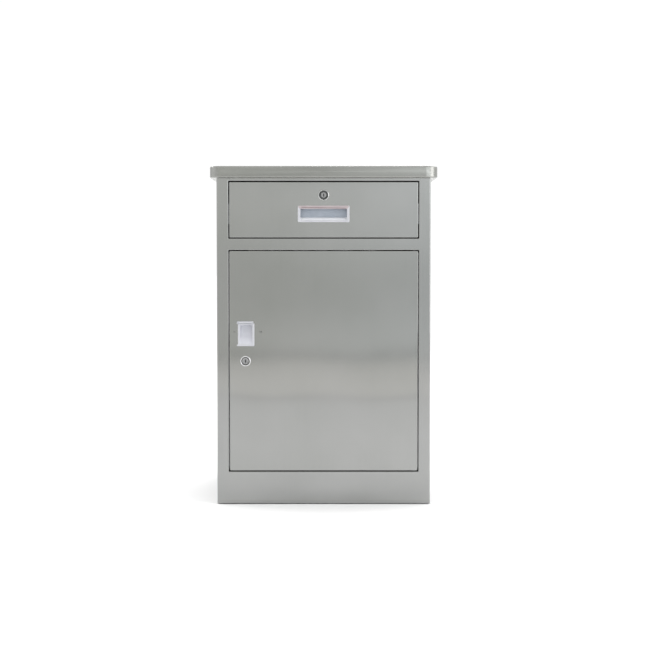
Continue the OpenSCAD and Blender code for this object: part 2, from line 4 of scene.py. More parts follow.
import bmesh
import bpy
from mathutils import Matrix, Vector
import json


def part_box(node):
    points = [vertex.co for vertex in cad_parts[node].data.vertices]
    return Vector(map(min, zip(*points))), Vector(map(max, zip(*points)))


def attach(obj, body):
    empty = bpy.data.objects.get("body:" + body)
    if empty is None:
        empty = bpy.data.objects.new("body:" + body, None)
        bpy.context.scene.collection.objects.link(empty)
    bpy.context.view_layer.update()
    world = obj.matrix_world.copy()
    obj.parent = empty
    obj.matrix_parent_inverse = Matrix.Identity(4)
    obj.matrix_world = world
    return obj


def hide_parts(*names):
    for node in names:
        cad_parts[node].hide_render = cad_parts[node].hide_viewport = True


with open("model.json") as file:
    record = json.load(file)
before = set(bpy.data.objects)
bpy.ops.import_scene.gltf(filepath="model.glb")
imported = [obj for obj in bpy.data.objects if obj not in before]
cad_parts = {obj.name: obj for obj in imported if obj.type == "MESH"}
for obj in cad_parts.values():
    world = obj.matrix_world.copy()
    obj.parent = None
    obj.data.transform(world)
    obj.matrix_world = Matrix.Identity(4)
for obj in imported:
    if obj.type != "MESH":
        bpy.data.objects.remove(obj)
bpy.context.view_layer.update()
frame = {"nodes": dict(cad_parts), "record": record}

MM = 0.001

# Folded sheet: thickness, edge rounding of the front faces, bend at a corner of the body.
SHEET = 1.0 * MM
EDGE_R = 1.6 * MM
FOLD_R = 3.0 * MM
STILE_RETURN = 20 * MM
BACK_FLANGE = 20 * MM
END_FLANGE = 21 * MM
END_FLANGE_FRONT = 28 * MM

# The top: edge rounding, plan radii of its front and back corners, and the return under its rim.
SLAB_EDGE_R = 1.8 * EDGE_R
SLAB_FRONT_R = 28 * MM
SLAB_BACK_R = 2.5 * MM
SLAB_RETURN = 35 * MM

# Holes in the drawer front and the door skin: how far inside a pull's flange, a lock's radius, and how far
# the cutters reach before and behind the face.
PULL_MARGIN = 2.6 * MM
LOCK_HOLE_R = 9.3 * MM
HOLE_REACH = (-2 * MM, 4 * MM)

# Dents beside the door pull: sideways from its middle and half width in mm, and their common height.
DENTS = ((-25.0, 3.0), (34.0, 4.2))
DENT_RISE = 4.5 * MM

# Steps of a quarter arc and of a full turn, and the angle from which an edge stays sharp, in degrees.
ARC_STEPS = 6
TURN_STEPS = 48
SHARP_ANGLE = 35

# Brushed steel: noise cells per metre across the brush lines and along them, the sheet's buckle in cells
# per metre of X, Y and Z, and how much brighter than the sheet a streak is.
FINE_LINES = (1400.0, 14.0)
BROAD_STREAKS = (420.0, 5.0)
BUCKLE = (3.2, 3.2, 2.4)
STREAK_GAIN = 1.08


# ---------------------------------------------------------------- node helpers

class Nodes:
    """A node tree, with short calls for the nodes that the materials and the world here use."""

    def __init__(self, owner):
        owner.use_nodes = True
        self.owner = owner
        self.tree = owner.node_tree
        self.shader = self.tree.nodes.get("Principled BSDF")

    def add(self, kind, **settings):
        node = self.tree.nodes.new(kind)
        for key, value in settings.items():
            setattr(node, key, value)
        return node

    def link(self, output, socket):
        self.tree.links.new(output, socket)

    def feed(self, socket, value):
        """Sets a socket to a number or a colour, or links an output to it."""
        if isinstance(value, (int, float)):
            socket.default_value = value
        elif isinstance(value, tuple):
            socket.default_value = (*value, 1.0)
        else:
            self.link(value, socket)

    def set(self, **values):
        """Uniform values, set straight on the shader's own sockets."""
        for key, value in values.items():
            self.shader.inputs[key.replace("_", " ")].default_value = value

    def axes(self, space="Object"):
        """The X, Y and Z of a coordinate."""
        coords = self.add("ShaderNodeTexCoord")
        split = self.add("ShaderNodeSeparateXYZ")
        self.link(coords.outputs[space], split.inputs["Vector"])
        return tuple(split.outputs)

    def noise(self, scale, detail=2.0, roughness=0.5):
        """Noise in object coordinates. scale is in cells per metre, one number or one for each axis."""
        coords = self.add("ShaderNodeTexCoord")
        mapping = self.add("ShaderNodeMapping")
        mapping.inputs["Scale"].default_value = scale if isinstance(scale, tuple) else (scale,) * 3
        self.link(coords.outputs["Object"], mapping.inputs["Vector"])
        node = self.add("ShaderNodeTexNoise")
        for key, value in (("Scale", 1.0), ("Detail", detail), ("Roughness", roughness)):
            node.inputs[key].default_value = value
        self.link(mapping.outputs["Vector"], node.inputs["Vector"])
        return node.outputs["Fac"]

    def remap(self, value, low, high, start=0.3, end=0.7, shape="LINEAR"):
        """low at start to high at end. Most of a noise lies between the two defaults."""
        node = self.add("ShaderNodeMapRange", interpolation_type=shape)
        for key, number in (("From Min", start), ("From Max", end), ("To Min", low), ("To Max", high)):
            node.inputs[key].default_value = number
        self.link(value, node.inputs["Value"])
        return node.outputs["Result"]

    def step(self, value, low, high, start, end):
        """The same, as a smooth step."""
        return self.remap(value, low, high, start, end, shape="SMOOTHSTEP")

    def math(self, kind, a, b):
        node = self.add("ShaderNodeMath", operation=kind)
        self.feed(node.inputs[0], a)
        self.feed(node.inputs[1], b)
        return node.outputs["Value"]

    def product(self, first, *others):
        for value in others:
            first = self.math("MULTIPLY", first, value)
        return first

    def mix(self, factor, a, b, blend="MIX"):
        node = self.add("ShaderNodeMix", data_type="RGBA", blend_type=blend)
        colours = [socket for socket in node.inputs if socket.type == "RGBA"]
        for socket, value in zip((node.inputs["Factor"], *colours), (factor, a, b)):
            self.feed(socket, value)
        return next(socket for socket in node.outputs if socket.type == "RGBA")

    def colour(self, output):
        self.link(output, self.shader.inputs["Base Color"])

    def rough(self, output):
        self.link(output, self.shader.inputs["Roughness"])

    def bump(self, height, strength, distance, below=None):
        """A bump on the shader, on top of the bump below if there is one."""
        node = self.add("ShaderNodeBump")
        node.inputs["Strength"].default_value = strength
        node.inputs["Distance"].default_value = distance
        self.link(height, node.inputs["Height"])
        if below is not None:
            self.link(below, node.inputs["Normal"])
        self.link(node.outputs["Normal"], self.shader.inputs["Normal"])
        return node.outputs["Normal"]


def new_material(name):
    return Nodes(bpy.data.materials.new(name))


# ---------------------------------------------------------------- materials

def along(grain, across_scale, along_scale):
    """A noise scale that stretches the noise along the grain's axis."""
    return tuple(along_scale if axis == grain else across_scale for axis in "XYZ")


def steel(name, light, dark, grain, rough=(0.15, 0.19), anisotropic=0.85, wave=1.0, patch=8.0, dish=0.0,
          streak=0.14):
    """Brushed sheet. grain is the axis that the brush lines run along and streak their contrast, patch
    the clouds per metre, wave the buckle, and dish the twist that grows towards the sides and the top."""
    nodes = new_material(name)
    lines = nodes.noise(along(grain, *FINE_LINES), detail=3.0, roughness=0.6)
    streaks = nodes.noise(along(grain, *BROAD_STREAKS))
    clouds = nodes.noise((patch, patch, patch * 0.9), detail=4.0, roughness=0.55)
    tone = nodes.mix(nodes.remap(clouds, 0.0, 1.0), dark, light)
    nodes.colour(nodes.mix(nodes.remap(streaks, 0.0, streak), tone, tuple(c * STREAK_GAIN for c in light)))
    nodes.rough(nodes.math("ADD", nodes.remap(lines, *rough), nodes.remap(clouds, -0.015, 0.015)))
    waved = nodes.bump(nodes.noise(BUCKLE, detail=1.0), 0.30 * wave, 10 * MM)
    if dish:
        x, _, z = nodes.axes()
        waved = nodes.bump(nodes.product(x, x, z, dish), 1.0, 1.0, below=waved)
    nodes.bump(lines, 0.05, 0.1 * MM, below=waved)
    nodes.set(Metallic=1.0, Anisotropic=anisotropic)
    if grain == "X":
        nodes.set(Anisotropic_Rotation=0.25)
    tangent = nodes.add("ShaderNodeTangent", direction_type="RADIAL", axis="Z" if grain == "Z" else "Y")
    nodes.link(tangent.outputs["Tangent"], nodes.shader.inputs["Tangent"])
    return nodes.owner


def plastic(name, light, dark, rough=(0.3, 0.42), pitted=0.06):
    """Moulded plastic or rubber, with pores of strength pitted."""
    nodes = new_material(name)
    clouds = nodes.noise(60.0, detail=3.0)
    nodes.colour(nodes.mix(nodes.remap(clouds, 0.0, 1.0), dark, light))
    nodes.rough(nodes.remap(clouds, *rough))
    nodes.bump(nodes.noise(2600.0, detail=1.0), pitted, 0.2 * MM)
    nodes.set(Specular_IOR_Level=0.5)
    return nodes.owner


def plated(name, light, dark, rough=(0.22, 0.4), metallic=1.0):
    """Plated or oxidised small parts, cloudy and lightly marked."""
    nodes = new_material(name)
    clouds = nodes.noise(120.0, detail=4.0)
    marks = nodes.noise(900.0)
    nodes.colour(nodes.mix(nodes.remap(clouds, 0.0, 1.0), dark, light))
    nodes.rough(nodes.remap(marks, *rough))
    nodes.bump(marks, 0.08, 0.2 * MM)
    nodes.set(Metallic=metallic)
    return nodes.owner


STEEL_V = steel("steel_upright_grain", (0.350, 0.352, 0.347), (0.322, 0.326, 0.319), "Z",
                rough=(0.11, 0.15), wave=0.8)
STEEL_DOOR = steel("steel_door", (0.348, 0.350, 0.343), (0.320, 0.325, 0.314), "Z",
                   rough=(0.075, 0.105), wave=0.7, patch=6.0, dish=0.05)
STEEL_SIDE = steel("steel_side", (0.368, 0.369, 0.366), (0.300, 0.303, 0.299), "Z",
                   rough=(0.13, 0.21), patch=4.0, streak=0.55)
STEEL_TOP = steel("steel_top", (0.322, 0.324, 0.309), (0.272, 0.275, 0.260), "X",
                  rough=(0.15, 0.24), patch=5.0, streak=0.7)
# Painted light: a lighter copy of the steel for the inside, so that the shaded interior doesn't go black.
INNER_STEEL_LIT = steel("inner_steel_painted_light", (0.60, 0.605, 0.61), (0.53, 0.535, 0.54), "Z",
                 rough=(0.32, 0.42), anisotropic=0.3)
WHITE = plastic("white_abs", (0.515, 0.52, 0.55), (0.475, 0.48, 0.515))
# Painted shade: a darker copy of the white plastic for the back of the drawer pull's recess.
RECESS_WHITE_SHADE = plastic("recess_abs_painted_shade", (0.36, 0.395, 0.45), (0.31, 0.345, 0.40))
# Painted light: a lighter copy of the white plastic for the drawer pull's upward ramp.
RAMP_WHITE_LIT = plastic("ramp_abs_painted_light", (0.80, 0.805, 0.83), (0.74, 0.745, 0.775))
# Painted light: a lighter copy of the white plastic for the door pull's scoop.
SCOOP_WHITE_LIT = plastic("scoop_abs_painted_light", (0.55, 0.555, 0.60), (0.49, 0.495, 0.54))
# Painted shade, tinted pink: a darker copy of the white plastic for the drawer pull's hood.
HOOD_WHITE_SHADE = plastic("hood_abs_painted_shade", (0.42, 0.365, 0.372), (0.385, 0.33, 0.345))
NYLON = plastic("nylon", (0.82, 0.81, 0.77), (0.74, 0.73, 0.69), rough=(0.5, 0.62))
NYLON_DARK = plastic("dark_nylon", (0.09, 0.09, 0.09), (0.06, 0.06, 0.06), rough=(0.5, 0.62))
RUBBER = plastic("rubber", (0.045, 0.045, 0.047), (0.028, 0.028, 0.03), rough=(0.7, 0.85), pitted=0.2)
SEAM = plastic("seam_red_grey", (0.26, 0.17, 0.175), (0.22, 0.14, 0.15))
MAGNET = plated("magnet", (0.12, 0.12, 0.125), (0.07, 0.07, 0.075), rough=(0.5, 0.65), metallic=0.6)
CHROME = plated("lock_chrome", (0.74, 0.74, 0.74), (0.62, 0.62, 0.63), rough=(0.1, 0.2))
ZINC = plated("zinc_plate", (0.66, 0.67, 0.68), (0.54, 0.55, 0.57))
DARK = plated("lock_shadow", (0.15, 0.155, 0.155), (0.085, 0.09, 0.09), rough=(0.25, 0.4))
SHADE = plated("door_lock_shade", (0.10, 0.10, 0.10), (0.06, 0.06, 0.06), rough=(0.25, 0.4))
# Painted shade: dark steel for the dents beside the door pull.
DENT_SHADE = plated("dent_steel_painted_shade", (0.25, 0.25, 0.245), (0.17, 0.17, 0.165), rough=(0.3, 0.45))
OXIDE = plated("black_oxide", (0.060, 0.060, 0.062), (0.035, 0.035, 0.037), rough=(0.4, 0.55))

SLOT_MATERIALS = {
    "stainless_outer": STEEL_V, "stainless_inner": INNER_STEEL_LIT, "white_plastic": WHITE,
    "nylon": NYLON, "rubber": RUBBER, "magnet": MAGNET, "chrome": CHROME, "zinc_plated": ZINC,
}


def lock_plug_material():
    """Turned zinc, with painted shade below the plugs' front face, so that the keyway reads as a hole."""
    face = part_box("drawer_lock_plug")[0].y
    nodes = new_material("lock_plug")
    marks = nodes.noise(700.0, detail=3.0)
    metal = nodes.mix(nodes.remap(marks, 0.0, 1.0), (0.36, 0.36, 0.365), (0.25, 0.25, 0.255))
    _, depth, _ = nodes.axes()
    # Painted shade: near black from just below the front face, down into the keyway.
    deep = nodes.remap(depth, 0.0, 1.0, face + 0.4 * MM, face + 1.0 * MM)
    nodes.colour(nodes.mix(deep, metal, (0.02, 0.02, 0.021)))
    nodes.rough(nodes.remap(marks, 0.25, 0.4))
    nodes.set(Metallic=1.0)
    return nodes.owner


# ---------------------------------------------------------------- outlines and meshes

def arc(centre_a, centre_b, radius, start, end, steps=ARC_STEPS):
    """Points of an arc in any plane, as (a, b) pairs, angles in degrees."""
    angles = [math.radians(start + (end - start) * i / steps) for i in range(steps + 1)]
    return [(centre_a + radius * math.cos(a), centre_b + radius * math.sin(a)) for a in angles]


def rounded_rect(low, high, radii, steps=ARC_STEPS):
    """Corners in the order low-low, high-low, high-high, low-high, such as left-front first."""
    (x0, y0), (x1, y1) = low, high
    corners = ((x0, y0, 180), (x1, y0, 270), (x1, y1, 0), (x0, y1, 90))
    points = []
    for (x, y, start), r in zip(corners, radii):
        centre_x = x + (r if x == x0 else -r)
        centre_y = y + (r if y == y0 else -r)
        points += arc(centre_x, centre_y, r, start, start + 90, steps)
    return points


def upright(outline, y):
    """An outline of (x, z) points, stood up at depth y."""
    return [(x, y, z) for x, z in outline]


def level(outline, z):
    """An outline of (x, y) points, laid level at height z."""
    return [(x, y, z) for x, y in outline]


def loft(bm, rings):
    """A skin through rings of equal length, closed at both ends."""
    rows = [[bm.verts.new(point) for point in ring] for ring in rings]
    for a, b in zip(rows, rows[1:]):
        for i in range(len(a)):
            j = (i + 1) % len(a)
            bm.faces.new((a[i], a[j], b[j], b[i]))
    bm.faces.new(rows[0][::-1])
    bm.faces.new(rows[-1])


def revolve(bm, profile, centre):
    """A closed profile of (radius, y) points, turned round an axis through centre that runs along Y."""
    turns = [2 * math.pi * i / TURN_STEPS for i in range(TURN_STEPS)]
    rows = [[bm.verts.new((centre.x + r * math.cos(a), y, centre.z + r * math.sin(a))) for a in turns]
            for r, y in profile]
    for a, b in zip(rows, rows[1:] + rows[:1]):
        for i in range(TURN_STEPS):
            j = (i + 1) % TURN_STEPS
            bm.faces.new((a[i], a[j], b[j], b[i]))


def link_object(name, data):
    thing = bpy.data.objects.new(name, data)
    bpy.context.scene.collection.objects.link(thing)
    return thing


def apply_modifiers(piece):
    depsgraph = bpy.context.evaluated_depsgraph_get()
    mesh = bpy.data.meshes.new_from_object(piece.evaluated_get(depsgraph))
    piece.modifiers.clear()
    piece.data = mesh


def settle_normals(piece, angle=SHARP_ANGLE):
    """Smooth shading that keeps each large face flat right up to its rounded edge."""
    piece.data.shade_smooth()
    piece.data.set_sharp_from_angle(angle=math.radians(angle))
    weighted = piece.modifiers.new("flat_faces", "WEIGHTED_NORMAL")
    weighted.mode = "FACE_AREA"
    weighted.weight = 100
    weighted.keep_sharp = True
    apply_modifiers(piece)


def finish_mesh(bm, name, material, body, angle=SHARP_ANGLE):
    bmesh.ops.remove_doubles(bm, verts=bm.verts, dist=1e-6)
    bmesh.ops.recalc_face_normals(bm, faces=bm.faces)
    mesh = bpy.data.meshes.new(name)
    bm.to_mesh(mesh)
    bm.free()
    mesh.materials.append(material)
    piece = link_object(name, mesh)
    settle_normals(piece, angle)
    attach(piece, body)
    return piece


def paint(piece, material, wanted):
    """Gives the material to the polygons that wanted picks, over any earlier paint."""
    piece.data.materials.append(material)
    index = len(piece.data.materials) - 1
    for polygon in piece.data.polygons:
        if wanted(polygon):
            polygon.material_index = index


# ---------------------------------------------------------------- cutters

def cutter(bm):
    mesh = bpy.data.meshes.new("cutter")
    bmesh.ops.recalc_face_normals(bm, faces=bm.faces)
    bm.to_mesh(mesh)
    bm.free()
    return link_object("cutter", mesh)


def outline_cutter(outline, y0, y1):
    bm = bmesh.new()
    loft(bm, [upright(outline, y) for y in (y0, y1)])
    return cutter(bm)


def round_cutter(x, z, radius, y0, y1):
    ring = arc(x, z, radius, 0, 360, TURN_STEPS)[:-1]
    return outline_cutter(ring, y0, y1)


def box_cutter(low, high, radius, y0, y1):
    return outline_cutter(rounded_rect(low, high, [radius] * 4), y0, y1)


def dent_cutter(x, y, z, half_width):
    """A flattened ball that leaves a shallow oval dent in the face at y."""
    deep = 0.1 * half_width
    bm = bmesh.new()
    bmesh.ops.create_uvsphere(bm, u_segments=24, v_segments=16, radius=1.0)
    bmesh.ops.scale(bm, vec=(half_width, 2 * deep, 0.6 * half_width), verts=bm.verts)
    bmesh.ops.translate(bm, vec=(x, y - deep, z), verts=bm.verts)
    return cutter(bm)


def cut(piece, tools):
    """Cuts the tools out of the piece and settles its normals afresh."""
    for tool in tools:
        modifier = piece.modifiers.new("cut", "BOOLEAN")
        modifier.operation = "DIFFERENCE"
        modifier.solver = "EXACT"
        modifier.object = tool
    apply_modifiers(piece)
    for tool in tools:
        bpy.data.objects.remove(tool)
    settle_normals(piece)


def fitting_holes(pull, lock, face):
    """Cutters for the hole behind a pull's flange and for a lock's round hole."""
    pull_low, pull_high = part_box(pull)
    lock_low, lock_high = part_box(lock)
    centre = (lock_low + lock_high) / 2
    reach = [face + y for y in HOLE_REACH]
    return [box_cutter((pull_low.x + PULL_MARGIN, pull_low.z + PULL_MARGIN),
                       (pull_high.x - PULL_MARGIN, pull_high.z - PULL_MARGIN), 1 * MM, *reach),
            round_cutter(centre.x, centre.z, LOCK_HOLE_R, *reach)]


# ---------------------------------------------------------------- sheet-metal pieces

def make_slab():
    """The top: a hollow folded tray with round front corners, soft edges and an inward return."""
    low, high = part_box("top_panel")
    r = SLAB_EDGE_R
    profile = [(r - a, b) for a, b in arc(0, high.z - r, r, 90, 0)]
    profile += [(r - a, b) for a, b in arc(0, low.z + r, r, 0, -90)]
    profile += [(SLAB_RETURN, low.z), (SLAB_RETURN, low.z + SHEET), (2 * SHEET, low.z + SHEET),
                (SHEET, low.z + 2 * SHEET), (SHEET, high.z - 2 * SHEET), (2 * SHEET, high.z - SHEET)]
    rings = []
    for inset, z in profile:
        front = max(SLAB_FRONT_R - inset, 0.8 * MM)
        back = max(SLAB_BACK_R - inset, 0.5 * MM)
        outline = rounded_rect((low.x + inset, low.y + inset), (high.x - inset, high.y - inset),
                               (front, front, back, back), steps=12)
        rings.append(level(outline, z))
    bm = bmesh.new()
    loft(bm, rings)
    piece = finish_mesh(bm, "slab", STEEL_TOP, "cabinet")
    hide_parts("top_panel")


def make_pan(name, node, body, material, tools):
    """A drawer front or door skin: a folded pan with soft edges, open at the back, cut by the tools."""
    low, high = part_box(node)
    r = EDGE_R
    lip = 0.3 * MM
    profile = [(r - a, low.y + r - b) for a, b in arc(0, 0, r, 90, 0)]
    profile += [(0.0, high.y - lip), (lip, high.y), (SHEET, high.y), (SHEET, low.y + r),
                (1.3 * SHEET, low.y + 1.2 * SHEET), (2 * SHEET, low.y + SHEET)]
    rings = []
    for inset, y in profile:
        radius = max(2.0 * MM - inset, 0.4 * MM)
        outline = rounded_rect((low.x + inset, low.z + inset), (high.x - inset, high.z - inset),
                               [radius] * 4, steps=4)
        rings.append(upright(outline, y))
    bm = bmesh.new()
    loft(bm, rings)
    piece = finish_mesh(bm, name, material, body)
    cut(piece, tools)
    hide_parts(node)
    return piece


def make_drawer_front():
    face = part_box("drawer_front")[0].y
    holes = fitting_holes("drawer_pull", "drawer_lock_housing", face)
    make_pan("drawer_front_pan", "drawer_front", "drawer", STEEL_V, holes)


def make_door_skin():
    """The door's pan, with two dents beside its pull whose small faces are painted dark as their shade. It
    has no holes for the hinge pins, which run into its top and bottom edges."""
    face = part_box("door_skin")[0].y
    pull_low, pull_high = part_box("door_handle")
    pull = (pull_low + pull_high) / 2
    dents = [dent_cutter(pull.x + x * MM, face, pull.z + DENT_RISE, size * MM) for x, size in DENTS]
    holes = fitting_holes("door_handle", "door_lock_housing", face)
    piece = make_pan("door_skin_pan", "door_skin", "door", STEEL_DOOR, holes + dents)

    # Painted shade: the dents' small faces take the dark steel.
    def in_dent(polygon):
        x, y, z = polygon.center
        beside = pull_low.z < z < pull_high.z and not pull_low.x < x < pull_high.x
        small = polygon.area < 2 * MM * MM
        return beside and small and face + 0.02 * MM < y < face + 0.5 * MM

    paint(piece, DENT_SHADE, in_dent)


def make_front_frame():
    """The welded face: stiles, rails and plinth, with the edges of both openings folded back."""
    side_low, side_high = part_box("side_panel_right")
    mid_low, mid_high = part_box("middle_rail")
    top_rail_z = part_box("top_rail")[0].z
    plinth_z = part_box("plinth_panel")[1].z
    front = side_low.y
    outer = side_high.x - FOLD_R
    xs = [-outer, mid_low.x, mid_high.x, outer]
    zs = [side_low.z, plinth_z, mid_low.z, mid_high.z, top_rail_z, side_high.z]
    door_row, drawer_row = 1, 3
    bm = bmesh.new()
    grid = [[bm.verts.new((x, front, z)) for x in xs] for z in zs]
    for row in range(len(zs) - 1):
        for column in range(len(xs) - 1):
            if column == 1 and row in (door_row, drawer_row):
                continue
            bm.faces.new((grid[row][column], grid[row][column + 1],
                          grid[row + 1][column + 1], grid[row + 1][column]))
    rims = []
    for row in (door_row, drawer_row):
        loop = [grid[row][1], grid[row][2], grid[row + 1][2], grid[row + 1][1]]
        deep = [bm.verts.new((v.co.x, front + STILE_RETURN, v.co.z)) for v in loop]
        for i in range(4):
            j = (i + 1) % 4
            bm.faces.new((loop[j], loop[i], deep[i], deep[j]))
            rims.append(bm.edges.get((loop[i], loop[j])))
            rims.append(bm.edges.get((loop[i], deep[i])))
    bmesh.ops.recalc_face_normals(bm, faces=bm.faces)
    bmesh.ops.bevel(bm, geom=rims, offset=EDGE_R, offset_type="OFFSET", segments=5,
                    profile=0.5, affect="EDGES", clamp_overlap=True)
    piece = finish_mesh(bm, "front_frame", STEEL_V, "cabinet")
    thick = piece.modifiers.new("sheet", "SOLIDIFY")
    thick.thickness = SHEET
    thick.offset = -1.0
    apply_modifiers(piece)
    settle_normals(piece)
    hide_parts("top_rail", "middle_rail", "plinth_panel")


def make_side_wall(node, name, side):
    """A side panel from its front fold to its back flange, with a flange at its foot and its top."""
    low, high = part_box(node)
    outer = high.x if side > 0 else -low.x
    front, back = low.y, high.y
    r = FOLD_R
    skin = arc(outer - r, front + r, r, -90, 0) + arc(outer - r, back - r, r, 0, 90)
    skin += [(outer - BACK_FLANGE, back)]
    inner = [(outer - BACK_FLANGE, back - SHEET)]
    inner += arc(outer - r, back - r, r - SHEET, 90, 0) + arc(outer - r, front + r, r - SHEET, 0, -90)
    near, far = front + END_FLANGE_FRONT, back - SHEET
    flange = [(outer - END_FLANGE, near), (outer - SHEET, near),
              (outer - SHEET, far), (outer - END_FLANGE, far)]
    bm = bmesh.new()
    for outline, z0, z1 in ((skin + inner, low.z, high.z), (flange, low.z, low.z + SHEET),
                            (flange, high.z - SHEET, high.z)):
        loft(bm, [level([(side * x, y) for x, y in outline], z) for z in (z0, z1)])
    piece = finish_mesh(bm, name, STEEL_SIDE, "cabinet")
    # The inward faces take the inner steel, painted light against the shade inside.
    paint(piece, INNER_STEEL_LIT, lambda polygon: polygon.normal.x * side < -0.5)
    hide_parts(node)


# ---------------------------------------------------------------- white fittings

def tray_rings(low, high, shape):
    """Rings of a moulded tray. shape rows: left, right, bottom, top inset, depth, corner radius, in mm."""
    rings = []
    for left, right, bottom, top, depth, r in shape:
        outline = rounded_rect((low.x + left * MM, low.z + bottom * MM),
                               (high.x - right * MM, high.z - top * MM), [r * MM] * 4)
        rings.append(upright(outline, low.y + depth * MM))
    return rings


def seam_strip(middle, face, grow, y0, y1):
    """The slanted strip in the pull's hood, grown all round. Its rows, grow, y0 and y1 are in mm."""
    rows = [(-49.5 - grow, 14.0 - grow), (49.5 + grow, 12.2 - grow),
            (49.5 + grow, 13.2 + grow), (-49.5 - grow, 15.2 + grow)]
    outline = [(middle.x + x * MM, middle.z + z * MM) for x, z in rows]
    bm = bmesh.new()
    loft(bm, [upright(outline, face + y * MM) for y in (y0, y1)])
    return bm


def make_drawer_pull():
    """The moulded tray: thin frame, deep hood at the top, floor that rises as a ramp."""
    low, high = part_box("drawer_pull")
    shape = [
        (3.2, 3.2, 3.2, 3.2, 16.4, 3.0), (3.2, 3.2, 3.2, 3.2, 2.0, 3.0), (0.0, 0.0, 0.0, 0.0, 2.0, 2.6),
        (0.0, 0.0, 0.0, 0.0, 0.8, 2.6), (0.25, 0.25, 0.25, 0.25, 0.25, 2.4),
        (0.8, 0.8, 0.8, 0.8, 0.0, 2.0), (5.3, 5.3, 3.0, 6.6, 0.0, 1.2), (5.8, 5.8, 3.8, 7.1, 0.3, 1.0),
        (6.0, 6.0, 4.3, 7.4, 0.9, 1.0), (6.0, 6.0, 6.2, 7.4, 3.8, 1.0), (6.0, 6.0, 6.6, 5.0, 4.4, 1.0),
        (6.0, 6.0, 8.8, 4.7, 8.0, 1.0), (6.2, 6.2, 10.5, 4.8, 11.0, 1.2), (6.6, 6.6, 11.0, 5.4, 14.2, 1.6),
    ]
    bm = bmesh.new()
    loft(bm, tray_rings(low, high, shape))
    piece = finish_mesh(bm, "drawer_pull_tray", WHITE, "drawer", angle=50)
    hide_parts("drawer_pull")

    def depth(polygon):
        return (polygon.center.y - low.y) / MM

    # Painted shade: the recess back takes the darker copy of the white plastic.
    def in_recess(polygon):
        return 11.0 < depth(polygon) < 15.0 and abs(polygon.center.x) < high.x - 5 * MM

    # Painted light: the upward ramp takes the lighter copy of the white plastic.
    def on_ramp(polygon):
        rising = polygon.normal.z > 0.3 and polygon.center.z < low.z + 12 * MM
        return rising and 1.0 < depth(polygon) < 14.0

    # Painted shade, tinted pink: the hood takes the darker copy of the white plastic.
    def on_hood(polygon):
        above = polygon.center.z > high.z - 7.4 * MM
        return above and depth(polygon) < 1.9 and low.x + 3 * MM < polygon.center.x < high.x - 3 * MM

    for material, wanted in ((RECESS_WHITE_SHADE, in_recess), (RAMP_WHITE_LIT, on_ramp), (HOOD_WHITE_SHADE, on_hood)):
        paint(piece, material, wanted)
    cut(piece, [cutter(seam_strip((low + high) / 2, low.y, 0.15, -1.0, 0.7))])
    finish_mesh(seam_strip((low + high) / 2, low.y, 0.0, 0.25, 0.7), "pull_seam_line", SEAM, "drawer")


def make_door_handle():
    """The moulded door pull: top bar, groove, and a plate with a scoop that deepens to the top."""
    low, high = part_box("door_handle")
    shape = [
        (3.2, 3.2, 3.2, 3.2, 16.4, 1.5), (3.2, 3.2, 3.2, 3.2, 2.0, 1.5), (0.0, 0.0, 0.0, 0.0, 2.0, 2.0),
        (0.0, 0.0, 0.0, 0.0, 0.8, 2.0), (0.3, 0.3, 0.3, 0.3, 0.25, 1.8), (0.9, 0.9, 0.9, 0.9, 0.0, 1.4),
        (6.2, 4.2, 5.2, 6.6, 0.0, 1.4), (6.8, 4.8, 6.0, 7.2, 0.35, 1.4), (7.2, 5.1, 7.0, 7.6, 1.2, 1.6),
        (7.6, 5.3, 14.0, 7.9, 4.0, 2.2), (8.6, 5.6, 20.0, 8.3, 7.4, 3.0),
        (10.2, 6.2, 27.0, 9.0, 9.8, 4.0), (13.0, 7.4, 32.0, 10.2, 11.2, 4.0),
    ]
    bm = bmesh.new()
    loft(bm, tray_rings(low, high, shape))
    piece = finish_mesh(bm, "door_pull_cup", WHITE, "door", angle=50)

    def slot_cutter(slot_low, slot_high, deep):
        return box_cutter(slot_low, slot_high, 0.3 * MM, low.y - 1 * MM, low.y + deep)

    groove_z, flange = high.z - 5.6 * MM, 2.1 * MM
    cut(piece, [
        slot_cutter((low.x + 1.2 * MM, groove_z), (high.x - 2.2 * MM, high.z - 3.9 * MM), 1.6 * MM),
        slot_cutter((high.x - 2.2 * MM, high.z - 4.4 * MM), (high.x + 1 * MM, high.z + 1 * MM), flange),
        slot_cutter((low.x - 1 * MM, low.z + 3.6 * MM), (low.x + 2.5 * MM, groove_z), flange),
    ])

    # Painted light: the scoop takes the lighter copy of the white plastic.
    def in_scoop(polygon):
        x, y, z = polygon.center
        inside = low.x + 6 * MM < x < high.x - 4 * MM and z < high.z - 6 * MM
        return inside and 0.5 * MM < y - low.y < 12 * MM

    paint(piece, SCOOP_WHITE_LIT, in_scoop)
    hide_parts("door_handle")


# ---------------------------------------------------------------- locks

